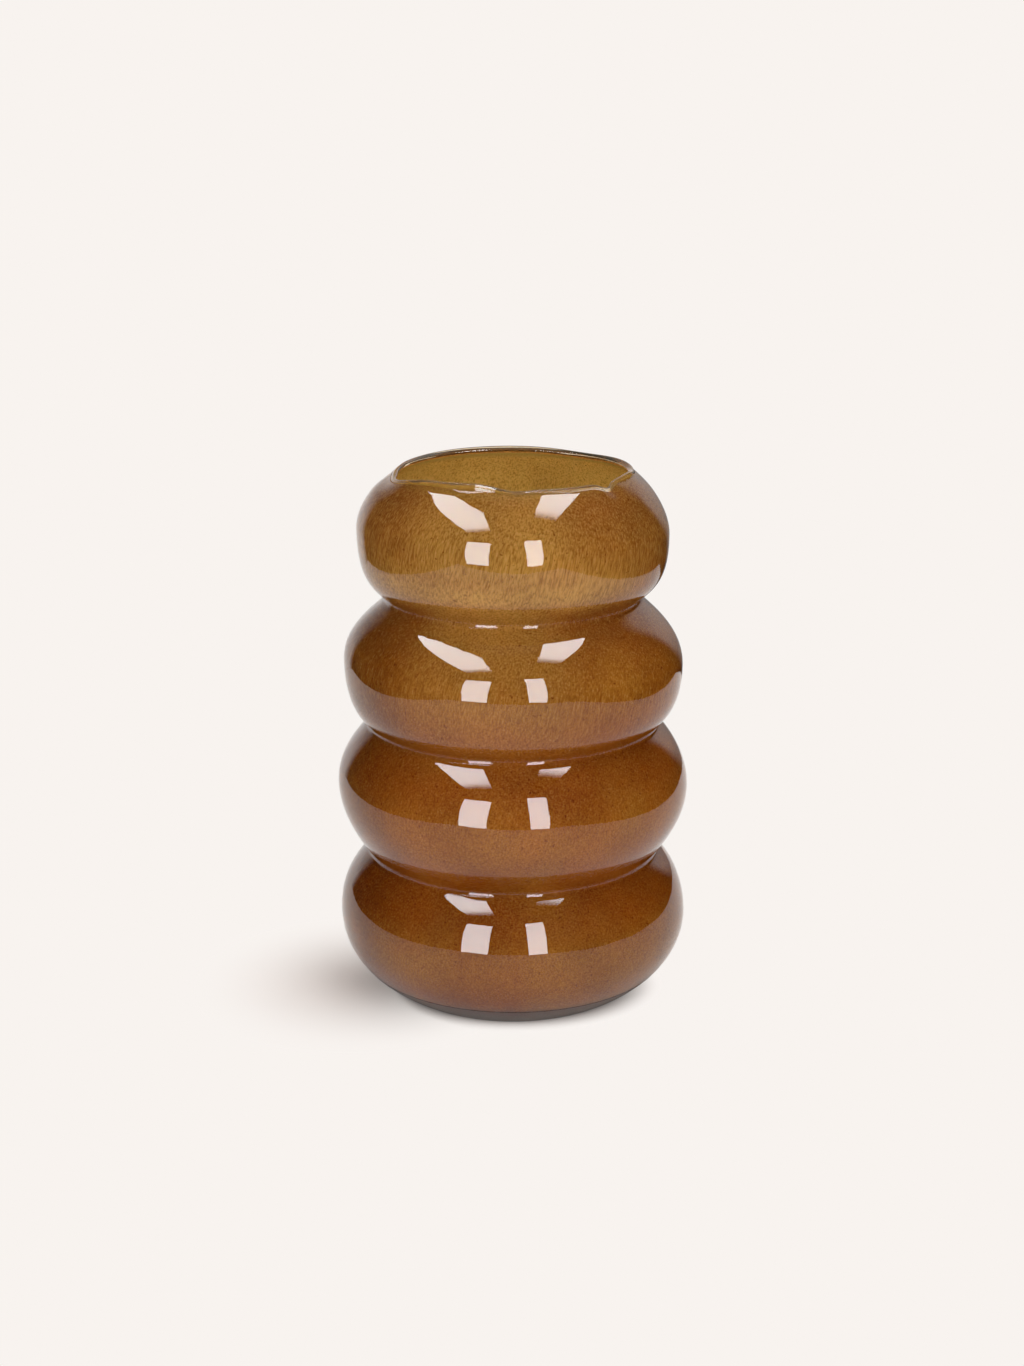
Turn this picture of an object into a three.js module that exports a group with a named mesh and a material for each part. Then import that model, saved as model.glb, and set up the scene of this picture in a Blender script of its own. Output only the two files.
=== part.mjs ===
// Glass lantern vase: a blown vessel of four stacked bulbs, speckled amber glass cased in clear glass.
// Millimetres, +Z up. The origin is the middle of the resting face, and the front of the vase faces -Y.
import * as THREE from "three";

// Outer radii, from the resting face up. The two lower bulbs are equally wide.
const footRadius = 48;
const wideBellyRadius = 95;
const bottomWaistRadius = 79.2;
const middleWaistRadius = 79;
const upperBellyRadius = 91;
const topWaistRadius = 68.7;
const topBellyRadius = 83;
const lipRadius = 63;

// Rises from one of these rings to the next.
const footToBottomBelly = 47.5;
const bottomBellyToWaist = 36.7;
const bottomWaistToBelly = 37.8;
const lowerBellyToWaist = 33.7;
const middleWaistToBelly = 33.8;
const upperBellyToWaist = 34.9;
const topWaistToBelly = 35.6;
const topBellyToLip = 33.5;

// Fullness of each bulb: how far its side stays upright, as a share of the rise to the next ring.
const bottomFullness = { under: 0.65, over: 0.59 };
const lowerFullness = { under: 0.36, over: 0.49 };
const upperFullness = { under: 0.54, over: 0.5 };
const topFullness = { under: 0.7, over: 0.45 };

// Turns of the surface at the foot and at the lip, where it still slopes inwards.
const footTurn = 5;
const lipTurn = 5;
const lipSlope = 47;

// The pinched waists: a small round crease, out of which the bulbs rise at a slope for a share of their width.
const creaseRadius = 1;
const creaseSlope = 45;
const creaseShare = 0.3;

// Glass thicknesses, and the clearance that keeps fused neighbours apart as solids.
const casingWall = 1.6;
const liningWall = 0.9;
const footThickness = 16;
const clearance = 0.3;

// The clear foot: how high it comes up the side, the share of its floor that is level, and the hollow left
// under it by the punty.
const footSeatHeight = 19.5;
const levelShare = 0.7;
const hollowRadius = 34;
const hollowHeight = 1.2;

// The lip: how far below its edge it starts, and how far down its waves reach.
const lipHeight = 1;
const waveReach = 14;

// Waves of the hand-finished lip: direction in degrees from the front towards +X, half width, and the
// rise as a share of their height.
const waveHeight = 2;
const lipWaves = [
  { direction: 25, spread: 40, rise: -0.6 },
  { direction: -38, spread: 14, rise: 0.6 },
  { direction: -17, spread: 11, rise: 0.9 },
  { direction: 1, spread: 7, rise: -0.6 },
  { direction: -78, spread: 22, rise: -2 },
  { direction: -112, spread: 30, rise: -0.75 },
  { direction: 48, spread: 5.5, rise: -1.5 },
  { direction: 68, spread: 9, rise: 0.7 },
  { direction: 95, spread: 25, rise: -0.6 },
  { direction: 140, spread: 22, rise: -0.7 },
];

const turnsAround = 44;
const stopSpacing = 9;
const wavyStopSpacing = 3.2;
const floorStops = 8;

const creaseAngle = THREE.MathUtils.degToRad(creaseSlope);
const point = (radius, height) => new THREE.Vector2(radius, height);

// Half of a crease, from the deepest ring of the waist out to the bulb above it, or below it if turned down.
function halfCrease(waist, turn) {
  const bend = ((creaseRadius * 4) / 3) * Math.tan((Math.PI / 2 - creaseAngle) / 4);
  const edge = point(
    waist.x + creaseRadius * (1 - Math.sin(creaseAngle)),
    waist.y + turn * creaseRadius * Math.cos(creaseAngle),
  );
  const waistHandle = point(waist.x, waist.y + turn * bend);
  const edgeHandle = point(edge.x - bend * Math.cos(creaseAngle), edge.y - turn * bend * Math.sin(creaseAngle));
  return turn > 0
    ? new THREE.CubicBezierCurve(waist, waistHandle, edgeHandle, edge)
    : new THREE.CubicBezierCurve(edge, edgeHandle, waistHandle, waist);
}

// The outer surface in section: for each bulb, its curves from the ring below it to the ring above it.
function outlineOfBulbs() {
  const rings = [point(footRadius, 0)];
  const addRing = (radius, rise) => rings.push(point(radius, rings.at(-1).y + rise));
  addRing(wideBellyRadius, footToBottomBelly);
  addRing(bottomWaistRadius, bottomBellyToWaist);
  addRing(wideBellyRadius, bottomWaistToBelly);
  addRing(middleWaistRadius, lowerBellyToWaist);
  addRing(upperBellyRadius, middleWaistToBelly);
  addRing(topWaistRadius, upperBellyToWaist);
  addRing(topBellyRadius, topWaistToBelly);
  addRing(lipRadius, topBellyToLip);

  const slope = THREE.MathUtils.degToRad(lipSlope);
  const sloping = (edge, belly, turn) => {
    const width = creaseShare * (belly.x - edge.x);
    return point(edge.x + width, edge.y + turn * width * Math.tan(creaseAngle));
  };
  return [bottomFullness, lowerFullness, upperFullness, topFullness].map((fullness, index, all) => {
    const [below, belly, above] = rings.slice(2 * index, 2 * index + 3);
    const creaseBelow = index > 0 ? [halfCrease(below, 1)] : [];
    const creaseAbove = index < all.length - 1 ? [halfCrease(above, -1)] : [];
    const start = creaseBelow.length ? creaseBelow[0].v3 : below;
    const end = creaseAbove.length ? creaseAbove[0].v0 : above;
    const startHandle = creaseBelow.length ? sloping(start, belly, 1) : point(start.x + footTurn, start.y);
    const endHandle = creaseAbove.length
      ? sloping(end, belly, -1)
      : point(end.x + lipTurn * Math.cos(slope), end.y - lipTurn * Math.sin(slope));
    const underHandle = point(belly.x, belly.y - fullness.under * (belly.y - start.y));
    const overHandle = point(belly.x, belly.y + fullness.over * (end.y - belly.y));
    return [
      ...creaseBelow,
      new THREE.CubicBezierCurve(start, startHandle, underHandle, belly),
      new THREE.CubicBezierCurve(belly, overHandle, endHandle, end),
      ...creaseAbove,
    ];
  });
}

const bulbs = outlineOfBulbs();
const outline = bulbs.flat();
const lipEnd = outline.at(-1).v3;
const lipSeatHeight = lipEnd.y - lipHeight;
const wallThickness = casingWall + clearance + liningWall;

function parameterAtHeight(curve, height) {
  let low = 0;
  let high = 1;
  for (let round = 0; round < 40; round += 1) {
    const middle = (low + high) / 2;
    if (curve.getPoint(middle).y < height) low = middle;
    else high = middle;
  }
  return (low + high) / 2;
}

// A point of a curve, set in from it by a depth of glass.
function inset(curve, parameter, depth) {
  const along = curve.getTangent(parameter);
  return curve.getPoint(parameter).add(point(-along.y, along.x).multiplyScalar(depth));
}

// The wall at one depth, upwards between two heights of the outer surface. Its points lie at the same
// stops of each curve at every depth, so that neighbouring walls run side by side.
function wallLine(depth, fromHeight, toHeight) {
  const line = [];
  for (const curve of outline) {
    if (curve.v3.y <= fromHeight || curve.v0.y >= toHeight) continue;
    const first = curve.v0.y < fromHeight ? parameterAtHeight(curve, fromHeight) : 0;
    const last = curve.v3.y > toHeight ? parameterAtHeight(curve, toHeight) : 1;
    if (!line.length) line.push(inset(curve, first, depth));
    const spacing = curve === outline.at(-1) ? wavyStopSpacing : stopSpacing;
    const steps = Math.max(2, Math.ceil(curve.getLength() / spacing));
    for (let step = 1; step < steps; step += 1) {
      const stop = step / steps;
      if (stop > first && stop < last) line.push(inset(curve, stop, depth));
    }
    line.push(inset(curve, last, depth));
  }
  return line;
}

// The dished floor at one depth, from the axis out to the top of the foot's side.
function floorLine(depth) {
  const side = outline[0];
  const seat = parameterAtHeight(side, footSeatHeight);
  const end = inset(side, seat, depth);
  const start = point(0, footThickness + depth - casingWall);
  const endHandle = point(end.x * levelShare, start.y);
  const startHandle = point(end.x / 2, start.y);
  return new THREE.CubicBezierCurve(start, startHandle, endHandle, end).getPoints(floorStops);
}

function lipRise(x, y) {
  const direction = THREE.MathUtils.radToDeg(Math.atan2(x, -y));
  return lipWaves.reduce((sum, wave) => {
    const away = (direction - wave.direction) / wave.spread;
    return sum + waveHeight * wave.rise * Math.exp(-away * away);
  }, 0);
}

// A closed section turned about the axis, with the waves of the lip fading out below it.
function blown(section, name, material) {
  const geometry = new THREE.LatheGeometry(section, turnsAround).rotateX(Math.PI / 2);
  const vertices = geometry.attributes.position;
  for (let index = 0; index < vertices.count; index += 1) {
    const x = vertices.getX(index);
    const y = vertices.getY(index);
    const z = vertices.getZ(index);
    const share = THREE.MathUtils.smoothstep(z, lipEnd.y - waveReach, lipEnd.y);
    vertices.setZ(index, z + share * lipRise(x, y));
  }
  geometry.computeVertexNormals();
  const mesh = new THREE.Mesh(geometry, material);
  mesh.name = name;
  return mesh;
}

const clearGlass = () => new THREE.MeshStandardMaterial({
  color: 0xd9d6cf, roughness: 0.04, metalness: 0, transparent: true, opacity: 0.35,
});
const amberGlass = () => new THREE.MeshStandardMaterial({ color: 0x8a5a22, roughness: 0.25, metalness: 0 });

// The casing of one bulb, counted from the bottom. It meets its neighbours flat in the waists.
function bulbCasing(index, name) {
  const isBottom = index === 0;
  const isTop = index === bulbs.length - 1;
  const low = isBottom ? footSeatHeight + clearance : bulbs[index][0].v0.y;
  const high = isTop ? lipSeatHeight - clearance : bulbs[index].at(-1).v3.y;
  const section = [...wallLine(0, low, high), ...wallLine(casingWall, low, high).reverse()];
  return blown([...section, section[0]], name, clearGlass());
}

function amberLayer() {
  const outerDepth = casingWall + clearance;
  const high = lipSeatHeight - clearance;
  const side = (depth) => [...floorLine(depth), ...wallLine(depth, footSeatHeight, high).slice(1)];
  return blown([...side(outerDepth), ...side(wallThickness).reverse()], "amber_layer", amberGlass());
}

function clearFoot() {
  const hollow = new THREE.EllipseCurve(0, 0, hollowRadius, hollowHeight, Math.PI / 2, 0, true);
  const section = [
    ...hollow.getPoints(floorStops / 2),
    ...wallLine(0, 0, footSeatHeight),
    ...floorLine(casingWall).reverse(),
  ];
  return blown(section, "clear_foot", clearGlass());
}

function rimLip() {
  const inner = wallLine(wallThickness, lipSeatHeight, lipEnd.y).reverse();
  const outer = wallLine(0, lipSeatHeight, lipEnd.y);
  const middle = outer.at(-1).clone().add(inner[0]).multiplyScalar(0.5);
  const fromMiddle = outer.at(-1).clone().sub(middle);
  const edge = [1, 2, 3].map((step) => fromMiddle.clone().rotateAround(point(0, 0), (step * Math.PI) / 4));
  const section = [...outer, ...edge.map((offset) => offset.add(middle)), ...inner];
  return blown([...section, section[0]], "rim_lip", clearGlass());
}

const vase = new THREE.Group();
vase.name = "glass_lantern_vase";
["bottom_bulb", "lower_bulb", "upper_bulb", "top_bulb"].forEach((name, index) => {
  vase.add(bulbCasing(index, name));
});
vase.add(amberLayer(), clearFoot(), rimLip());

export default vase;
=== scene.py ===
import math

import bpy
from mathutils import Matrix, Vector, noise


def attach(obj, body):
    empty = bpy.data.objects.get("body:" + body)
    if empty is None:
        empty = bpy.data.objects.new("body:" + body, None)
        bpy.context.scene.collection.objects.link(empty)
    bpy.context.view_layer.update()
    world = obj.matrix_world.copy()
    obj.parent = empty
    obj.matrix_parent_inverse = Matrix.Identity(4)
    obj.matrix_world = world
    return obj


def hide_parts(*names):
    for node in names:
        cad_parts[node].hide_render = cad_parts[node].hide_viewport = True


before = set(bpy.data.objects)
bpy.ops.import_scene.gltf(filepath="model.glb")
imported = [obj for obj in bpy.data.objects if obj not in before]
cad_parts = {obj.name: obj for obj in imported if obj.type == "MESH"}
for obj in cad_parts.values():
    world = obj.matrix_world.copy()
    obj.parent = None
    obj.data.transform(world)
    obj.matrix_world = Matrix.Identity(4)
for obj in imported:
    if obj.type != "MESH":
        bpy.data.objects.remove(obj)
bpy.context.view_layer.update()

# The clear casing: the outer wall of the vase, clear blown glass with four bulbs one above the other.
# It was gathered over the amber layer and pinched in at three waists while hot, and is fused to the
# amber inside it, to the foot below and to the lip above.
foot_radius = 0.048
lip_radius = 0.063
belly_radii = (0.095, 0.095, 0.091, 0.083)
waist_radii = (0.0792, 0.079, 0.0687)
rises_to_belly = (0.0475, 0.0378, 0.0338, 0.0356)
rises_from_belly = (0.0367, 0.0337, 0.0349, 0.0335)

# How far the side of each bulb stays upright below and above its belly, as a share of the rise there.
fullness_under = (0.68, 0.42, 0.64, 0.74)
fullness_over = (0.59, 0.49, 0.50, 0.45)

# Turns of the surface at the foot and at the lip, and the height where the lip's collar starts.
foot_turn = 0.007
lip_turn = 0.005
lip_slope = math.radians(47)
collar_from = 0.283

# The creases of the waists: radius and share of a bulb's width that slopes, first below, then above.
crease_radii = (0.003, 0.001)
crease_shares = (0.3, 0.44)
slope_below_crease = math.radians(45)
slopes_above_crease = tuple(math.radians(slope) for slope in (52, 44, 45))

# The wall, the clearance between fused neighbours, and the heights where foot and lip are joined on.
casing_wall = 0.0016
clearance = 0.0003
foot_seat_height = 0.0195
lip_height = 0.001
lip_end_height = sum(rises_to_belly) + sum(rises_from_belly)
lip_seat_height = lip_end_height - lip_height

halvings = 40
steps_per_curve = 13
steps_around = 192
merge_distance = 2e-6
smooth_angle = math.radians(40)


def crease_knots(waist, radius_below, radius_above, slope_above):
    """The round crease in a waist: its lower edge, its deepest ring and its upper edge. The bulbs rise out
    of it at a slope, for a share of their width."""
    edges = []
    slopes = (slope_below_crease, slope_above)
    radii = (radius_below, radius_above)
    sides = zip((-1, 1), slopes, crease_shares, crease_radii, radii)
    for turn, slope, share, round_radius, radius in sides:
        bend = round_radius * 4 / 3 * math.tan((math.pi / 2 - slope) / 4)
        out = Vector((math.cos(slope), 0, turn * math.sin(slope)))
        centre = waist + Vector((round_radius, 0, 0))
        edge = centre + round_radius * Vector((-math.sin(slope), 0, turn * math.cos(slope)))
        lean = edge + out * share * (radius - edge.x) / out.x
        edges.append((waist + Vector((0, 0, turn * bend)), edge - bend * out, edge, lean))
    (waist_below, bend_below, edge_below, lean_below), (waist_above, *rest_above) = edges
    return [(lean_below, edge_below, bend_below), (waist_below, waist, waist_above), tuple(rest_above)]


def bezier(start, start_handle, end_handle, end, share):
    """The point at a share of a curve."""
    rest = 1 - share
    bend = 3 * rest * share * (rest * start_handle + share * end_handle)
    return rest**3 * start + bend + share**3 * end


def cut_curve(curve, height):
    """Cuts a rising curve at a height: the controls of its lower part and of its upper part."""
    low, high = 0.0, 1.0
    for _ in range(halvings):
        middle = (low + high) / 2
        below = bezier(*curve, middle).z < height
        low, high = (middle, high) if below else (low, middle)
    start, start_handle, end_handle, end = curve
    first = start.lerp(start_handle, low)
    middle = start_handle.lerp(end_handle, low)
    last = end_handle.lerp(end, low)
    before = first.lerp(middle, low)
    after = middle.lerp(last, low)
    place = before.lerp(after, low)
    return (start, first, before, place), (place, after, last, end)


def outline_knots():
    """The outer surface in section: knots from the foot to the lip, each with its two handles. The last
    curve is cut where the collar starts, so that the collar gets steps enough."""
    foot_edge = Vector((foot_radius, 0, 0))
    knots = [(foot_edge, foot_edge, foot_edge + Vector((foot_turn, 0, 0)))]
    height = 0.0
    for bulb, radius in enumerate(belly_radii):
        belly = Vector((radius, 0, height + rises_to_belly[bulb]))
        height = belly.z + rises_from_belly[bulb]
        start_height = knots[-1][1].z
        if bulb < len(waist_radii):
            waist = Vector((waist_radii[bulb], 0, height))
            ending = crease_knots(waist, radius, belly_radii[bulb + 1], slopes_above_crease[bulb])
        else:
            lip_end = Vector((lip_radius, 0, height))
            before_lip = lip_turn * Vector((math.cos(lip_slope), 0, -math.sin(lip_slope)))
            ending = [(lip_end + before_lip, lip_end, lip_end)]
        upright_below = Vector((0, 0, fullness_under[bulb] * (belly.z - start_height)))
        upright_above = Vector((0, 0, fullness_over[bulb] * (ending[0][1].z - belly.z)))
        knots += [(belly - upright_below, belly, belly + upright_above)] + ending
    *knots, (before_belly, belly, after_belly), (before_lip, lip_end, _) = knots
    lower, upper = cut_curve((belly, after_belly, before_lip, lip_end), collar_from)
    knots += [(before_belly, belly, lower[1]), (lower[2], lower[3], upper[1]), (upper[2], lip_end, lip_end)]
    return knots


def turned(name, knots):
    """Draws a section as a Bezier curve and turns it about the upright axis."""
    bpy.ops.object.select_all(action="DESELECT")
    bpy.ops.curve.primitive_bezier_curve_add(location=(0, 0, 0))
    piece = bpy.context.object
    piece.name = name
    piece.data.resolution_u = steps_per_curve
    spline = piece.data.splines[0]
    spline.bezier_points.add(len(knots) - 2)
    for knot, (before, place, after) in zip(spline.bezier_points, knots):
        knot.handle_left_type = "FREE"
        knot.handle_right_type = "FREE"
        knot.co = place
        knot.handle_left = before
        knot.handle_right = after
    bpy.ops.object.convert(target="MESH")
    piece = bpy.context.object
    bpy.ops.object.mode_set(mode="EDIT")
    bpy.ops.mesh.select_all(action="SELECT")
    bpy.ops.mesh.spin(steps=steps_around, angle=2 * math.pi, center=(0, 0, 0), axis=(0, 0, 1))
    bpy.ops.mesh.select_all(action="SELECT")
    bpy.ops.mesh.remove_doubles(threshold=merge_distance)
    bpy.ops.mesh.normals_make_consistent(inside=False)
    bpy.ops.object.mode_set(mode="OBJECT")
    return piece


def pick(piece):
    """Selects one piece alone, to be worked on."""
    bpy.ops.object.select_all(action="DESELECT")
    bpy.context.view_layer.objects.active = piece
    piece.select_set(True)


def copy_of(piece, name):
    """A copy of a piece with its own mesh."""
    pick(piece)
    bpy.ops.object.duplicate()
    copy = bpy.context.object
    copy.name = name
    return copy


def cut(piece, height, keep_above):
    """Cuts a piece across at a height and keeps one side."""
    pick(piece)
    bpy.ops.object.mode_set(mode="EDIT")
    bpy.ops.mesh.select_all(action="SELECT")
    bpy.ops.mesh.bisect(
        plane_co=(0, 0, height), plane_no=(0, 0, 1), clear_inner=keep_above, clear_outer=not keep_above
    )
    bpy.ops.object.mode_set(mode="OBJECT")


def thicken(piece, thickness, inner_slot=0, edge_slot=0):
    """Gives a surface its glass inwards. The slots are counted on from the surface's own."""
    pick(piece)
    wall = piece.modifiers.new("wall", "SOLIDIFY")
    wall.thickness = thickness
    wall.offset = -1
    wall.use_quality_normals = True
    wall.material_offset = inner_slot
    wall.material_offset_rim = edge_slot
    bpy.ops.object.modifier_apply(modifier=wall.name)


# Waves of the hand-finished lip: direction from the front towards +X and half width in degrees, and rise.
lip_waves = (
    (25, 40, -0.0012),
    (-38, 14, 0.0012),
    (-17, 11, 0.0018),
    (1, 7, -0.0012),
    (-78, 22, -0.0040),
    (-112, 30, -0.0015),
    (48, 5.5, -0.0030),
    (68, 9, 0.0014),
    (95, 25, -0.0012),
    (140, 22, -0.0014),
)
wave_reach = 0.014
wave_slide = 1.0
collar_lean = 0.75
tool_line_height = 0.2916
tool_line_depth = 0.0003
tool_line_width = 0.0008
belly_spacing = 0.0709
belly_tilt = 0.016
tilt_from = 0.03
unevenness = 0.0005
uneven_around = 1.6
uneven_upwards = 22
axis_radius = 1e-5


def eased(share):
    """A share from 0 to 1 with soft ends."""
    share = min(max(share, 0), 1)
    return share * share * (3 - 2 * share)


def lip_lift(direction):
    """How far the waves lift the lip in a direction."""
    return sum(rise * math.exp(-(((direction - at) / spread) ** 2)) for at, spread, rise in lip_waves)


def hand_finish(piece):
    """Brings a turned piece to its hand-blown form: a waved lip turned up to a collar along the line of the
    tool, tilted bellies and a slight unevenness."""
    for vertex in piece.data.vertices:
        x, y, z = vertex.co
        lift = lip_lift(math.degrees(math.atan2(x, -y)))
        share = eased(1 - (lip_end_height - z) / wave_reach)
        belly = 0.5 + 0.5 * math.cos(2 * math.pi * (z - rises_to_belly[0]) / belly_spacing)
        off_floor = min(max((z - tilt_from) / tilt_from, 0), 1)
        now = z + lift * share - belly_tilt * x * belly * off_floor * (1 - share)
        vertex.co.z = now
        radius = math.hypot(x, y)
        if radius > axis_radius:
            around = Vector((x / radius, y / radius, 0)) * uneven_around
            swell = unevenness * noise.noise(around + Vector((0, 0, z * uneven_upwards))) * off_floor
            from_line = (now - tool_line_height) / tool_line_width
            swell -= tool_line_depth * math.exp(-from_line * from_line)
            swell += collar_lean * max(now - tool_line_height, 0)
            swell -= wave_slide * lift * share * max(-y / radius, 0)
            vertex.co.x = x * (1 + swell / radius)
            vertex.co.y = y * (1 + swell / radius)


def smooth(piece):
    """Shades a piece as smooth glass, apart from its sharp edges."""
    pick(piece)
    bpy.ops.object.shade_smooth_by_angle(angle=smooth_angle)


def feed(tree, socket, value):
    """Gives a socket its plain value, or links it to the socket that the value comes from."""
    if isinstance(value, bpy.types.NodeSocket):
        tree.links.new(value, socket)
    else:
        socket.default_value = value


def node_in(tree, kind, values, **sources):
    """Adds a node and feeds its sockets, each by its name or its place."""
    node = tree.nodes.new(kind)
    for socket, value in (values | sources).items():
        feed(tree, node.inputs[socket], value)
    return node


def ranged(tree, source, from_min, from_max, to_min=0.0, to_max=1.0, how="LINEAR"):
    """Spreads one range of a value to another, and holds it at its ends."""
    ends = {"From Min": from_min, "From Max": from_max, "To Min": to_min, "To Max": to_max}
    spread = node_in(tree, "ShaderNodeMapRange", ends, Value=source)
    spread.interpolation_type = how
    return spread.outputs["Result"]


def new_group(name, inputs, outputs):
    """A shader node group with named sockets: its tree, its inputs and its output node."""
    group = bpy.data.node_groups.new(name, "ShaderNodeTree")
    for socket, kind in inputs.items():
        group.interface.new_socket(socket, in_out="INPUT", socket_type=kind)
    for socket, kind in outputs.items():
        group.interface.new_socket(socket, in_out="OUTPUT", socket_type=kind)
    return group, group.nodes.new("NodeGroupInput").outputs, group.nodes.new("NodeGroupOutput")


def placed(tree, group, values):
    """Places a node group in a material, with its own values."""
    node = tree.nodes.new("ShaderNodeGroup")
    node.node_tree = group
    for socket, value in values.items():
        node.inputs[socket].default_value = value
    return node.outputs


ripple_detail = 2
ripple_height = 0.002
ripple_roughness = 0.03
glass_index = 1.5
casing_tint = (0.96, 0.96, 0.94, 1)
casing_ripple_scale = 60
casing_ripple_strength = 0.05


def fire_polish_group():
    """The skin of glass that was melted smooth: faint ripples, in which the polish differs a little."""
    group, given, output = new_group(
        "fire_polish",
        {"Ripple Scale": "NodeSocketFloat", "Ripple Strength": "NodeSocketFloat"},
        {"Roughness": "NodeSocketFloat", "Normal": "NodeSocketVector"},
    )
    place = node_in(group, "ShaderNodeTexCoord", {}).outputs["Object"]
    ripple = node_in(
        group, "ShaderNodeTexNoise", {"Detail": ripple_detail}, Vector=place, Scale=given["Ripple Scale"]
    ).outputs["Fac"]
    bump = node_in(
        group,
        "ShaderNodeBump",
        {"Distance": ripple_height},
        Strength=given["Ripple Strength"],
        Height=ripple,
    )
    group.links.new(ranged(group, ripple, 0, 1, 0, ripple_roughness), output.inputs["Roughness"])
    group.links.new(bump.outputs["Normal"], output.inputs["Normal"])
    return group


fire_polish = fire_polish_group()


def clear_glass(name, tint, ripple_scale, ripple_strength, clearness=1):
    """Clear glass, polished by the fire."""
    material = bpy.data.materials.new(name)
    material.use_nodes = True
    tree = material.node_tree
    shader = tree.nodes["Principled BSDF"]
    shader.inputs["Base Color"].default_value = tint
    shader.inputs["IOR"].default_value = glass_index
    shader.inputs["Transmission Weight"].default_value = clearness
    polish = placed(tree, fire_polish, {"Ripple Scale": ripple_scale, "Ripple Strength": ripple_strength})
    tree.links.new(polish["Roughness"], shader.inputs["Roughness"])
    tree.links.new(polish["Normal"], shader.inputs["Normal"])
    return material


def fused_face():
    """A face inside the glass, where two gathers have melted together and nothing shows."""
    material = bpy.data.materials.new("fused_face")
    material.use_nodes = True
    material.node_tree.nodes["Principled BSDF"].inputs["Alpha"].default_value = 0
    return material


melted = fused_face()
skin = turned("vase_skin", outline_knots())
casing = copy_of(skin, "clear_casing_glass")
cut(casing, foot_seat_height + clearance, keep_above=True)
cut(casing, lip_seat_height - clearance, keep_above=False)
casing.data.materials.append(
    clear_glass("casing_glass", casing_tint, casing_ripple_scale, casing_ripple_strength)
)
casing.data.materials.append(melted)
thicken(casing, casing_wall, inner_slot=1, edge_slot=1)
hand_finish(casing)
smooth(casing)
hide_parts("bottom_bulb", "lower_bulb", "upper_bulb", "top_bulb")
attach(casing, "root")

# The amber layer: glass rolled in amber powder and blown inside the casing, so the grains are drawn out
# into fine streaks. It forms the floor and the inner wall of the vase, and light passes through it.
lining_wall = 0.0009
foot_thickness = 0.016
level_share = 0.7
floor_rings = 12
level_difference = 1e-5
amber_depth = casing_wall + clearance

# Its colour from the foot upwards, the colours of painted light on the bellies and the paled parts, and the
# colours of light through it, of the lip and of powder and its shade.
amber_at_heights = (
    (0.03, (0.37, 0.098, 0.007, 1)),
    (0.12, (0.51, 0.155, 0.016, 1)),
    (0.19, (0.50, 0.155, 0.015, 1)),
    (0.26, (0.56, 0.238, 0.048, 1)),
)
lit_belly_amber = (0.85, 0.50, 0.06, 1)
painted_light_amber = (1.0, 0.69, 0.16, 1)
through_tint = (0.90, 0.60, 0.32, 1)
lip_olive = (0.50, 0.34, 0.08, 1)
cloud_gold = (0.60, 0.32, 0.05, 1)
grain_and_shade_dark = (0.56, 0.42, 0.28, 1)
grain_pale = (0.80, 0.50, 0.16, 1)

# Painted light pales the front of the upper bulbs and the sides inside; a painted reflection of the floor
# pales a band under the top belly.
lit_side = (-0.17, -0.985, 0)
lit_facing = (0.78, 0.99)
lit_heights = (0.14, 0.26)
lit_share = 0.38
below_lip_heights = (0.262, 0.285)
below_lip_share = 0.7
band_starts = (0.229, 0.239)
band_ends = (0.262, 0.242)
band_facing = (0.3, 0.8)
band_share = 0.46
side_square = 0.5
side_paleness = 1.5

# Painted light makes the bellies a little more golden than the waists, and painted shade darkens the left
# side of the lower bulbs.
belly_range = (-0.3, 1)
belly_share = 0.14
shaded_sides = (-0.5, -0.92)
shade_share = 0.62
shade_heights = (0.25, 0.21)

# Drifts and clouds of powder, streaks and specks of grain, and dots: scale and detail, the range of the
# noise that shows, and the share of colour that it gives.
drift_scale, drift_detail = 17, 2
drift_range, drift_share = (0.47, 0.66), 0.25
cloud_scale, cloud_detail = 26, 3
cloud_range, cloud_share = (0.62, 0.36), 0.34
streak_lean = math.radians(12)
streak_length = 7
streak_scale, streak_detail, streak_bend = 1250, 2, 0.3
speck_scale, speck_detail = 1150, 3
streaky_heights, streaky_shares = (0.10, 0.26), (0.25, 0.85)
dark_grain_range, dark_grain_share = (0.55, 0.35), 0.8
pale_grain_range, pale_grain_shares = (0.54, 0.72), (0.2, 0.5)
dot_scale, dot_detail = 560, 1
dot_range, dot_share = (0.68, 0.75), 0.9
clearing_heights = (0.2862, 0.2895)

amber_roughness = 0.5
coat_roughness = 0.06


def outline_curve(place):
    """The controls of one curve of the outer surface, counted from the foot."""
    knots = outline_knots()
    return knots[place][1], knots[place][2], knots[place + 1][0], knots[place + 1][1]


def across(along):
    """The direction into the glass, square to the way along its surface."""
    return Vector((-along.z, 0, along.x)).normalized()


def floor_curve(depth):
    """The dished floor in section, from the axis to the top of the foot's side, at a depth of glass."""
    side, _ = cut_curve(outline_curve(0), foot_seat_height)
    along = (side[3] - side[2]).normalized()
    edge = side[3] + depth * across(along)
    centre = Vector((0, 0, foot_thickness + depth - casing_wall))
    return centre, Vector((edge.x / 2, 0, centre.z)), Vector((level_share * edge.x, 0, centre.z)), edge


def bottom_ring(piece):
    """Selects the open edge at the bottom of a piece, in edit mode."""
    bpy.ops.mesh.select_all(action="DESELECT")
    bpy.ops.mesh.select_mode(type="EDGE")
    bpy.ops.object.mode_set(mode="OBJECT")
    lowest = min(vertex.co.z for vertex in piece.data.vertices)
    for edge in piece.data.edges:
        ends = [piece.data.vertices[corner] for corner in edge.vertices]
        edge.select = all(end.co.z < lowest + level_difference for end in ends)
    bpy.ops.object.mode_set(mode="EDIT")


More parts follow.
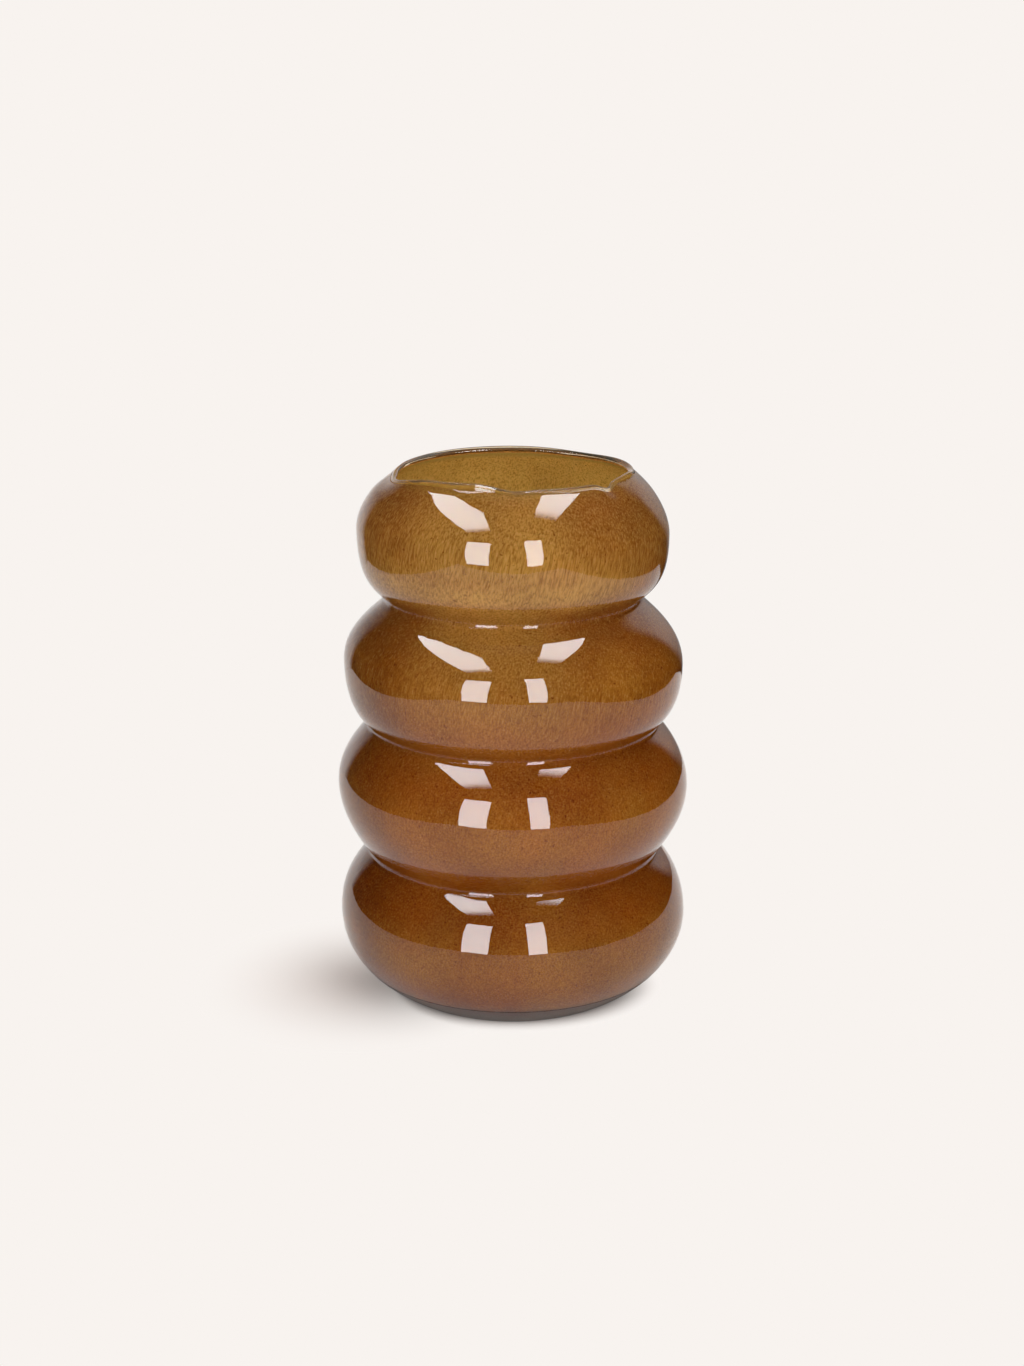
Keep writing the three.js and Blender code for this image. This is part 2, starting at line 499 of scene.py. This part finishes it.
def close_floor(piece, curve):
    """Draws the bottom edge of a piece in along the floor's curve, ring by ring, to the axis."""
    pick(piece)
    bpy.ops.object.mode_set(mode="EDIT")
    bottom_ring(piece)
    here = curve[3]
    for ring in range(1, floor_rings + 1):
        there = bezier(*curve, 1 - ring / (floor_rings + 1))
        shrink = there.x / here.x
        bpy.ops.mesh.extrude_edges_move(TRANSFORM_OT_translate={"value": (0, 0, there.z - here.z)})
        bpy.ops.transform.resize(value=(shrink, shrink, 1), center_override=(0, 0, 0))
        here = there
    bpy.ops.mesh.extrude_edges_move(TRANSFORM_OT_translate={"value": (0, 0, curve[0].z - here.z)})
    bpy.ops.mesh.merge(type="CENTER")
    bpy.ops.mesh.select_all(action="SELECT")
    bpy.ops.mesh.normals_make_consistent(inside=False)
    bpy.ops.object.mode_set(mode="OBJECT")


def mixed(tree, how, factor, first, second):
    """Mixes two colours. Each is a colour or a socket, and the factor is a number or a socket."""
    mix = tree.nodes.new("ShaderNodeMix")
    mix.data_type = "RGBA"
    mix.blend_type = how
    for socket, value in (("Factor", factor), ("A", first), ("B", second)):
        feed(tree, mix.inputs[socket], value)
    return mix.outputs["Result"]


def maths(tree, operation, first, second):
    """Combines two values, each a number or a socket."""
    node = node_in(tree, "ShaderNodeMath", {0: first, 1: second})
    node.operation = operation
    return node.outputs["Value"]


def vector_maths(tree, operation, first, second=(0, 0, 0)):
    """Combines two vectors, each plain or a socket: the outputs with the vector and the value."""
    node = node_in(tree, "ShaderNodeVectorMath", {0: first, 1: second})
    node.operation = operation
    return node.outputs


def noise_in(tree, place, scale, detail, bend=0):
    """Cloudy noise over a place, from 0 to 1."""
    values = {"Scale": scale, "Detail": detail, "Distortion": bend}
    return node_in(tree, "ShaderNodeTexNoise", values, Vector=place).outputs["Fac"]


def amber_climb(tree, height):
    """The amber's colour, darker and redder towards the foot and paler up to the lip."""
    climb = node_in(tree, "ShaderNodeValToRGB", {}, Fac=ranged(tree, height, 0, lip_end_height))
    stops = climb.color_ramp.elements
    for stop_height, _ in amber_at_heights[2:]:
        stops.new(stop_height / lip_end_height)
    for stop, (stop_height, stop_colour) in zip(stops, amber_at_heights):
        stop.position = stop_height / lip_end_height
        stop.color = stop_colour
    return climb.outputs["Color"]


def painted_belly_light(tree, height):
    """The share of painted light in the bellies, which fades out towards the waists."""
    turns = ranged(tree, height, rises_to_belly[0], rises_to_belly[0] + belly_spacing, 0, 2 * math.pi)
    turns.node.clamp = False
    return ranged(tree, maths(tree, "COSINE", turns, 0), *belly_range, 0, belly_share)


def painted_front_light(tree, height, facing):
    """The share of painted light at the front of the upper bulbs, and of the painted reflection in the band
    under the top belly.
    """
    front = ranged(tree, facing, *lit_facing, how="SMOOTHSTEP")
    front = maths(tree, "MULTIPLY", front, ranged(tree, height, *lit_heights, 0, lit_share))
    front = maths(tree, "MULTIPLY", front, ranged(tree, height, *below_lip_heights, 1, below_lip_share))
    band = maths(tree, "MULTIPLY", ranged(tree, height, *band_starts), ranged(tree, height, *band_ends))
    band = maths(tree, "MULTIPLY", band, ranged(tree, facing, *band_facing, 0, band_share))
    return maths(tree, "MAXIMUM", front, band)


def with_grains(tree, colour, place, height):
    """Lays clouds, drawn-out grains and dots of powder over a colour. The streaks lengthen upwards."""
    clouds = noise_in(tree, place, cloud_scale, cloud_detail)
    clouds = ranged(tree, clouds, *cloud_range, 0, cloud_share)
    colour = mixed(tree, "MULTIPLY", clouds, colour, grain_and_shade_dark)

    turn = {"Rotation": (0, streak_lean, 0), "Scale": (1, 1, streak_length)}
    drawn = node_in(tree, "ShaderNodeMapping", turn, Vector=place)
    drawn.vector_type = "TEXTURE"
    streaks = noise_in(tree, drawn.outputs["Vector"], streak_scale, streak_detail, streak_bend)
    specks = noise_in(tree, place, speck_scale, speck_detail)
    streaky = ranged(tree, height, *streaky_heights, *streaky_shares)
    grains = node_in(tree, "ShaderNodeMix", {}, Factor=streaky, A=specks, B=streaks).outputs["Result"]
    dark_grains = ranged(tree, grains, *dark_grain_range, 0, dark_grain_share)
    colour = mixed(tree, "MULTIPLY", dark_grains, colour, grain_and_shade_dark)
    pale_share = ranged(tree, height, *streaky_heights, *pale_grain_shares)
    pale_grains = maths(tree, "MULTIPLY", ranged(tree, grains, *pale_grain_range), pale_share)
    colour = mixed(tree, "MIX", pale_grains, colour, grain_pale)

    dots = noise_in(tree, place, dot_scale, dot_detail)
    return mixed(tree, "MULTIPLY", ranged(tree, dots, *dot_range, 0, dot_share), colour, grain_and_shade_dark)


def amber_grain_group():
    """Amber that pales upwards, in drawn-out grains and clouds of powder, with painted light at the front,
    on the bellies and inside, and painted shade on the left of the lower bulbs. It clears to olive at the
    lip."""
    group, given, output = new_group(
        "amber_grain",
        {"Paleness": "NodeSocketFloat", "Clearing": "NodeSocketFloat"},
        {"Colour": "NodeSocketColor"},
    )
    place = node_in(group, "ShaderNodeTexCoord", {}).outputs["Object"]
    height = node_in(group, "ShaderNodeSeparateXYZ", {}, Vector=place).outputs["Z"]
    level = node_in(group, "ShaderNodeMapping", {"Scale": (1, 1, 0)}, Vector=place).outputs["Vector"]
    outwards = vector_maths(group, "NORMALIZE", level)["Vector"]
    to_right = node_in(group, "ShaderNodeSeparateXYZ", {}, Vector=outwards).outputs["X"]
    facing = vector_maths(group, "DOT_PRODUCT", outwards, lit_side)["Value"]

    drifts = noise_in(group, place, drift_scale, drift_detail)
    drifts = ranged(group, drifts, *drift_range, 0, drift_share)
    colour = mixed(group, "MIX", drifts, amber_climb(group, height), cloud_gold)
    # Painted light on the bellies.
    colour = mixed(group, "MIX", painted_belly_light(group, height), colour, lit_belly_amber)

    # Painted light on the wall inside, by the Paleness share, stronger towards its left and right sides.
    sideways = maths(group, "MULTIPLY", to_right, to_right)
    sideways = ranged(group, sideways, 0, side_square, 1, side_paleness)
    pale_share = maths(group, "MULTIPLY", given["Paleness"], sideways)
    # Painted light: the front of the upper bulbs, the band under the top belly, and the wall inside.
    pale_share = maths(group, "MAXIMUM", painted_front_light(group, height, facing), pale_share)
    colour = mixed(group, "MIX", pale_share, colour, painted_light_amber)

    # Painted shade on the left side of the lower bulbs.
    left_shade = ranged(group, to_right, *shaded_sides, 0, shade_share, how="SMOOTHSTEP")
    left_shade = maths(group, "MULTIPLY", left_shade, ranged(group, height, *shade_heights))
    colour = mixed(group, "MULTIPLY", left_shade, colour, grain_and_shade_dark)
    colour = with_grains(group, colour, place, height)

    collar = ranged(group, height, *clearing_heights, how="SMOOTHSTEP")
    collar = maths(group, "MULTIPLY", collar, given["Clearing"])
    group.links.new(mixed(group, "MIX", collar, colour, lip_olive), output.inputs["Colour"])
    return group


amber_grain = amber_grain_group()


def shaders_mixed(tree, share, first, second):
    """Mixes two shaders. The share of the second one is a number or a socket."""
    return node_in(tree, "ShaderNodeMixShader", {0: share, 1: first, 2: second}).outputs["Shader"]


def amber_glass(name, coat, through_share, paleness, clearing):
    """Translucent amber. Light that comes through it is deeper in colour than light thrown back. A coat
    is the polish of the wall inside the vase, where no casing covers it."""
    material = bpy.data.materials.new(name)
    material.use_nodes = True
    tree = material.node_tree
    shader = tree.nodes["Principled BSDF"]
    colour = placed(tree, amber_grain, {"Paleness": paleness, "Clearing": clearing})["Colour"]
    tree.links.new(colour, shader.inputs["Base Color"])
    shader.inputs["Roughness"].default_value = amber_roughness
    shader.inputs["Specular IOR Level"].default_value = 0
    shader.inputs["Coat Weight"].default_value = coat
    shader.inputs["Coat Roughness"].default_value = coat_roughness
    deeper = mixed(tree, "MULTIPLY", 1, colour, through_tint)
    through = node_in(tree, "ShaderNodeBsdfTranslucent", {}, Color=deeper).outputs["BSDF"]
    both = shaders_mixed(tree, through_share, shader.outputs["BSDF"], through)
    tree.links.new(both, tree.nodes["Material Output"].inputs["Surface"])
    return material


amber = copy_of(skin, "amber_layer_glass")
cut(amber, foot_seat_height, keep_above=True)
cut(amber, lip_seat_height - clearance, keep_above=False)
inwards = amber.modifiers.new("inwards", "DISPLACE")
inwards.mid_level = 0
inwards.strength = -amber_depth
bpy.ops.object.modifier_apply(modifier=inwards.name)
close_floor(amber, floor_curve(amber_depth))
cased = amber_glass("amber_glass_cased", coat=0, through_share=0.35, paleness=0, clearing=0.15)
# The wall inside carries painted light, which lifts it and pales it more towards its sides.
inside = amber_glass("amber_glass_inside", coat=1, through_share=0.12, paleness=0.70, clearing=0.85)
amber.data.materials.append(cased)
amber.data.materials.append(inside)
thicken(amber, lining_wall, inner_slot=1, edge_slot=0)
hand_finish(amber)
smooth(amber)
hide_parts("amber_layer")
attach(amber, "root")

# The clear foot: the thick bottom of clear glass under the amber floor. It is ground flat to a resting
# ring, with a shallow hollow where the rod that held the vase was broken off.
hollow_radius = 0.034
hollow_height = 0.0012
quarter_round = 0.5523
# The foot's clear glass is tinted dark: painted shade, for the shadowed floor seen through it.
foot_tint_and_shade = (0.38, 0.31, 0.25, 1)
foot_ripple_scale = 40
foot_ripple_strength = 0.06
upward = 0.05


def foot_knots():
    """The foot in section, from the axis under the hollow, round its side and back over the floor."""
    side, _ = cut_curve(outline_curve(0), foot_seat_height)
    start, start_handle, seat_handle, seat = side
    top, top_handle, edge_handle, edge = floor_curve(casing_wall)
    hollow = Vector((0, 0, hollow_height))
    ring = Vector((hollow_radius, 0, 0))
    flat = (start - ring) / 3
    wall = (edge - seat) / 3
    return [
        (hollow, hollow, hollow + Vector((hollow_radius * quarter_round, 0, 0))),
        (ring + Vector((0, 0, hollow_height * quarter_round)), ring, ring + flat),
        (start - flat, start, start_handle),
        (seat_handle, seat, seat + wall),
        (edge - wall, edge, edge_handle),
        (top_handle, top, top),
    ]


foot = turned("clear_foot_glass", foot_knots())
foot.data.materials.append(clear_glass("foot_glass", foot_tint_and_shade, foot_ripple_scale, foot_ripple_strength))
foot.data.materials.append(melted)
for face in foot.data.polygons:
    if face.normal.z > upward:
        face.material_index = 1
hand_finish(foot)
smooth(foot)
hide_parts("clear_foot")
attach(foot, "root")

# The lip: the rim of the mouth, sheared off and melted round in the fire, so it waves a little.
# It closes the edges of the casing and the amber layer, and the amber tints it.
wall_thickness = casing_wall + clearance + lining_wall
lip_tint = (0.85, 0.70, 0.42, 1)
lip_ripple_scale = 90
lip_ripple_strength = 0.05
lip_clearness = 0.94
downward = -0.3


def lip_knots():
    """The lip in section: up the outside from its seat, over the round edge, down the inside and back."""
    _, (seat, seat_handle, end_handle, end) = cut_curve(outline_curve(-2), lip_seat_height)
    seat_along = (seat_handle - seat).normalized()
    along = (end - end_handle).normalized()
    inner_seat = seat + wall_thickness * across(seat_along)
    inner_end = end + wall_thickness * across(along)
    bow = along * wall_thickness / 2
    edge = (end + inner_end) / 2 + bow
    half_edge = (inner_end - end) * quarter_round / 2
    seat_face = (inner_seat - seat) / 3
    return [
        (seat, seat, seat_handle),
        (end_handle, end, end + bow * quarter_round),
        (edge - half_edge, edge, edge + half_edge),
        (inner_end + bow * quarter_round, inner_end, inner_end + end_handle - end),
        (inner_seat + seat_handle - seat, inner_seat, inner_seat - seat_face),
        (seat + seat_face, seat, seat),
    ]


lip = turned("rim_lip_glass", lip_knots())
lip.data.materials.append(
    clear_glass("lip_glass", lip_tint, lip_ripple_scale, lip_ripple_strength, clearness=lip_clearness)
)
lip.data.materials.append(melted)
for face in lip.data.polygons:
    if face.normal.z < downward:
        face.material_index = 1
hand_finish(lip)
smooth(lip)
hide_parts("rim_lip")
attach(lip, "root")

bpy.data.objects.remove(skin, do_unlink=True)

# The floor: a wide pale surface that the vase stands on. In reflections it ends a little way around
# the vase, as a table's sheet of paper does. The vase shades it on the left, and a painted contact shadow
# darkens it under the foot.
pale = (0.939, 0.896, 0.863, 1)
# The paper is warmer than its pale, so its shade comes out warm: painted light, for amber light through the
# vase.
paper_shade = (0.939, 0.855, 0.805, 1)
painted_contact_shadow = (0.10, 0.08, 0.065, 1)
paper_roughness = 0.9
floor_width = 60
sheet_left, sheet_right, sheet_front, sheet_back = -0.65, 0.58, -0.84, 0.6
sheet_edge = 0.02
painted_shadow_from, painted_shadow_to, painted_shadow_to_in_gloss = 0.038, 0.056, 0.085
foot_shade_from, foot_shade_to, foot_shade_to_in_gloss = 0.048, 0.065, 0.115
foot_shade_width = 1.28
shadow_middle = (-0.085, 0.003, 0)
shadow_reach = 0.095
none_yet = 0.5


def off_the_sheet(tree, place):
    """Nothing on the sheet of paper, and one beyond its edges."""
    split = node_in(tree, "ShaderNodeSeparateXYZ", {}, Vector=place).outputs
    off = ranged(tree, split["X"], sheet_left, sheet_left - sheet_edge)
    off = maths(tree, "MAXIMUM", off, ranged(tree, split["X"], sheet_right, sheet_right + sheet_edge))
    off = maths(tree, "MAXIMUM", off, ranged(tree, split["Y"], sheet_front, sheet_front - sheet_edge))
    return maths(tree, "MAXIMUM", off, ranged(tree, split["Y"], sheet_back, sheet_back + sheet_edge))


def seen_through_glass(tree, path):
    """One for a view that has gone through glass and hasn't been scattered yet."""
    unscattered = maths(tree, "LESS_THAN", path["Diffuse Depth"], none_yet)
    return maths(tree, "MULTIPLY", unscattered, path["Is Transmission Ray"])


def clear_of(tree, distance, near, far, far_in_gloss, not_gloss):
    """Rises from nothing to one with the distance, and more slowly in reflections."""
    rise = ranged(tree, distance, near, far, how="SMOOTHSTEP")
    rise_in_gloss = ranged(tree, distance, near, far_in_gloss, how="SMOOTHSTEP")
    return maths(tree, "MINIMUM", rise, maths(tree, "MAXIMUM", rise_in_gloss, not_gloss))


def floor_paper():
    """Pale paper that shows its own colour in view, apart from the vase's shade on it."""
    material = bpy.data.materials.new("floor_paper")
    material.use_nodes = True
    tree = material.node_tree
    shader = tree.nodes["Principled BSDF"]
    shader.inputs["Roughness"].default_value = paper_roughness
    shader.inputs["Specular IOR Level"].default_value = 0
    place = node_in(tree, "ShaderNodeTexCoord", {}).outputs["Object"]
    path = node_in(tree, "ShaderNodeLightPath", {}).outputs
    not_gloss = maths(tree, "SUBTRACT", 1, path["Is Glossy Ray"])
    round_foot = node_in(tree, "ShaderNodeMapping", {"Scale": (1 / foot_shade_width, 1, 1)}, Vector=place)
    from_foot = vector_maths(tree, "LENGTH", round_foot.outputs["Vector"])["Value"]
    from_shadow = vector_maths(tree, "DISTANCE", place, shadow_middle)["Value"]

    # A painted contact shadow: the paper is dark under the foot, and a little wider in reflections.
    clear_of_painted_shadow = clear_of(tree, from_foot, painted_shadow_from, painted_shadow_to, painted_shadow_to_in_gloss, not_gloss)
    paper = mixed(tree, "MIX", clear_of_painted_shadow, painted_contact_shadow, paper_shade)
    tree.links.new(paper, shader.inputs["Base Color"])

    clear_of_foot = clear_of(
        tree, from_foot, foot_shade_from, foot_shade_to, foot_shade_to_in_gloss, not_gloss
    )
    clear_of_shadow = ranged(tree, from_shadow, 0, shadow_reach, how="SMOOTHSTEP")
    unshaded = maths(tree, "MINIMUM", clear_of_foot, clear_of_shadow)
    in_view = maths(tree, "MAXIMUM", path["Is Camera Ray"], path["Is Glossy Ray"])
    in_view = maths(tree, "MAXIMUM", in_view, seen_through_glass(tree, path))
    own_colour = node_in(tree, "ShaderNodeEmission", {"Color": pale, "Strength": 1}).outputs["Emission"]
    in_own_colour = maths(tree, "MULTIPLY", in_view, unshaded)
    lifted = shaders_mixed(tree, in_own_colour, shader.outputs["BSDF"], own_colour)

    hidden = maths(tree, "MULTIPLY", off_the_sheet(tree, place), path["Is Glossy Ray"])
    nothing = node_in(tree, "ShaderNodeBsdfTransparent", {}).outputs["BSDF"]
    both = shaders_mixed(tree, hidden, lifted, nothing)
    tree.links.new(both, tree.nodes["Material Output"].inputs["Surface"])
    return material


bpy.ops.object.select_all(action="DESELECT")
bpy.ops.mesh.primitive_plane_add(size=floor_width, location=(0, 0, 0))
floor = bpy.context.object
floor.name = "floor"
floor.data.materials.append(floor_paper())

# The light: far soft lamps overhead on the right and in front, and a pale room around the vase. Two panels
# in front and two sheets of light overhead show only as first reflections in the glass.
light_radiance = 12.5
panel_target = (0, 0, 0.17)
left_panel_place, left_panel_size = (-0.615, -1.37, 0.45), (0.46, 1.15)
right_panel_place, right_panel_size = (0.413, -1.442, 0.52), (0.33, 1.28)
once_only = 1.5

# The sheets overhead: corners at the front right, front left, back left and back right, and where their
# light fades in towards the back.
overhead_height = 1.7
left_corners = ((-0.42, -1.35), (-0.98, -1.35), (-1.3, 0.5), (-0.44, -0.60))
right_corners = ((0.36, -1.35), (0.70, -1.35), (0.98, 0.25), (0.40, -0.12))
left_fade = (-1.38, -0.95)
right_fade = (-0.86, -0.52)

# The soft lamps: direction from the front towards +X, elevation, level and spread.
key_direction, left_direction, right_direction = (math.radians(turn) for turn in (90, -35, 30))
key_elevation, fill_elevation = math.radians(74), math.radians(11)
key_level, left_level, right_level = 0.22, 0.42, 0.64
key_spread, fill_spread = math.radians(30), math.radians(45)

# The room: plain light that is stronger from behind, and what the gloss shows of it, which is a back wall
# with a left and a right half, a glow in front and a ceiling.
ambient_tint = (1, 0.99, 0.985, 1)
ambient_front, ambient_back = 0.35, 1.65
room_tint = (1, 0.96, 0.93, 1)
left_wall_heights, left_wall_levels = (0.0, 0.3), (0.95, 0.25)
right_wall_heights, right_wall_levels = (-0.1, 0.25), (0.28, 0.75)
wall_halves = (-0.05, 0.15)
wall_lean, wall_lean_start = 0.5, 0.045
wall_edge, wall_levels = (0.72, 0.80), (0.02, 1)
wall_end, wall_end_levels = (0.62, 0.70), (1, 0.05)
front_glow_range, front_glow_level = (-0.1, -1.0), 0.08
ceiling_range, ceiling_level = (0.93, 0.99), 0.22


def first_reflection(tree):
    """One for light that shows in the glass straight away, and nothing for reflections of reflections."""
    path = node_in(tree, "ShaderNodeLightPath", {}).outputs
    return maths(tree, "LESS_THAN", path["Glossy Depth"], once_only)


def only_in_gloss(light):
    """Hides a light from everything but the gloss of the glass."""
    light.visible_camera = False
    light.visible_diffuse = False
    light.visible_transmission = False
    light.visible_volume_scatter = False


def panel(name, place, size):
    """A studio panel that shows in the gloss of the glass and lights nothing else."""
    width, height = size
    bpy.ops.object.light_add(type="AREA", location=place)
    lamp = bpy.context.object
    lamp.name = name
    lamp.rotation_euler = (Vector(panel_target) - Vector(place)).to_track_quat("-Z", "Y").to_euler()
    lamp.data.shape = "RECTANGLE"
    lamp.data.size = width
    lamp.data.size_y = height
    lamp.data.energy = light_radiance * math.pi * width * height
    lamp.data.use_nodes = True
    tree = lamp.data.node_tree
    tree.links.new(first_reflection(tree), tree.nodes["Emission"].inputs["Strength"])
    only_in_gloss(lamp)


def overhead(name, corners, fade):
    """A sheet of light above the vase that shows only in gloss. Its light fades out towards the front."""
    bpy.ops.mesh.primitive_grid_add(x_subdivisions=1, y_subdivisions=1, size=2)
    sheet = bpy.context.object
    sheet.name = name
    right_front, left_front, left_back, right_back = (Vector((*c, overhead_height)) for c in corners)
    for vertex in sheet.data.vertices:
        along = (vertex.co.y + 1) / 2
        left = left_front.lerp(left_back, along)
        right = right_front.lerp(right_back, along)
        vertex.co = left.lerp(right, (vertex.co.x + 1) / 2)
    material = bpy.data.materials.new(name)
    material.use_nodes = True
    tree = material.node_tree
    place = node_in(tree, "ShaderNodeTexCoord", {}).outputs["Object"]
    to_back = node_in(tree, "ShaderNodeSeparateXYZ", {}, Vector=place).outputs["Y"]
    strength = ranged(tree, to_back, *fade, 0, light_radiance, how="SMOOTHSTEP")
    strength = maths(tree, "MULTIPLY", strength, first_reflection(tree))
    glow = node_in(tree, "ShaderNodeEmission", {}, Strength=strength)
    tree.links.new(glow.outputs["Emission"], tree.nodes["Material Output"].inputs["Surface"])
    sheet.data.materials.append(material)
    only_in_gloss(sheet)
    sheet.visible_shadow = False


def soft_lamp(name, direction, elevation, level, spread):
    """A far soft lamp. Its level is what it adds to a white face turned square to it."""
    level_reach = math.cos(elevation)
    towards = Vector(
        (math.sin(direction) * level_reach, -math.cos(direction) * level_reach, math.sin(elevation))
    )
    bpy.ops.object.light_add(type="SUN", location=towards)
    lamp = bpy.context.object
    lamp.name = name
    lamp.rotation_euler = (-towards).to_track_quat("-Z", "Y").to_euler()
    lamp.data.energy = level * math.pi
    lamp.data.angle = spread
    lamp.visible_camera = False
    lamp.visible_glossy = False


def room_in_gloss(tree, split):
    """How bright the room is in the gloss of the glass, by direction."""
    left_half = ranged(tree, split["Z"], *left_wall_heights, *left_wall_levels)
    right_half = ranged(tree, split["Z"], *right_wall_heights, *right_wall_levels)
    to_right = ranged(tree, split["X"], *wall_halves)
    leaning = maths(tree, "SUBTRACT", maths(tree, "MULTIPLY", split["Z"], wall_lean), wall_lean_start)
    leaning = maths(tree, "MULTIPLY", leaning, to_right)
    wall = ranged(tree, maths(tree, "ADD", split["Y"], leaning), *wall_edge, *wall_levels)
    halves = node_in(tree, "ShaderNodeMix", {}, Factor=to_right, A=left_half, B=right_half)
    wall = maths(tree, "MULTIPLY", wall, halves.outputs["Result"])
    wall = maths(tree, "MULTIPLY", wall, ranged(tree, split["X"], *wall_end, *wall_end_levels))
    front_glow = ranged(tree, split["Y"], *front_glow_range, 0, front_glow_level)
    ceiling = ranged(tree, split["Z"], *ceiling_range, 0, ceiling_level)
    return maths(tree, "ADD", maths(tree, "ADD", wall, front_glow), ceiling)


def studio_room():
    """The world around the vase: a pale backdrop in view, the room in gloss, and plain light otherwise."""
    world = bpy.data.worlds.new("studio")
    world.use_nodes = True
    tree = world.node_tree
    tree.nodes.clear()
    path = node_in(tree, "ShaderNodeLightPath", {}).outputs
    where = node_in(tree, "ShaderNodeTexCoord", {}).outputs["Generated"]
    split = node_in(tree, "ShaderNodeSeparateXYZ", {}, Vector=where).outputs

    fills_on_floor = (left_level + right_level) * math.sin(fill_elevation)
    ambient_level = 1 - (key_level * math.sin(key_elevation) + fills_on_floor)
    behind = ranged(tree, split["Y"], -1, 1, ambient_front * ambient_level, ambient_back * ambient_level)
    ambient = node_in(tree, "ShaderNodeBackground", {"Color": ambient_tint}, Strength=behind)
    in_gloss = room_in_gloss(tree, split)
    room = node_in(tree, "ShaderNodeBackground", {"Color": room_tint}, Strength=in_gloss)
    backdrop = node_in(tree, "ShaderNodeBackground", {"Color": pale, "Strength": 1})
    ambient, room, backdrop = (each.outputs["Background"] for each in (ambient, room, backdrop))

    unseen = shaders_mixed(tree, path["Is Glossy Ray"], ambient, room)
    in_view = maths(tree, "MAXIMUM", path["Is Camera Ray"], seen_through_glass(tree, path))
    node_in(tree, "ShaderNodeOutputWorld", {}, Surface=shaders_mixed(tree, in_view, unseen, backdrop))
    return world


panel("softbox_left", left_panel_place, left_panel_size)
panel("softbox_right", right_panel_place, right_panel_size)
overhead("overhead_left", left_corners, left_fade)
overhead("overhead_right", right_corners, right_fade)
soft_lamp("key", key_direction, key_elevation, key_level, key_spread)
soft_lamp("fill_left", left_direction, fill_elevation, left_level, fill_spread)
soft_lamp("fill_right", right_direction, fill_elevation, right_level, fill_spread)
bpy.context.scene.world = studio_room()

# The camera: in front of the vase and above its mouth, looking a little down into it, as in the
# photograph. Its lens follows from the focal length in pixels of the photograph's frame.
frame_height = 1366
focal_pixels = 2104
camera_place = (-0.0005, -1.095, 0.485)
looking_down = 15.8
camera_tilt = math.radians(90 - looking_down)
sensor_width = 36
bpy.ops.object.camera_add(location=camera_place, rotation=(camera_tilt, 0, 0))
camera = bpy.context.object
camera.data.sensor_width = sensor_width
camera.data.lens = sensor_width * focal_pixels / frame_height
bpy.context.scene.camera = camera
bpy.context.scene.view_settings.view_transform = "Standard"
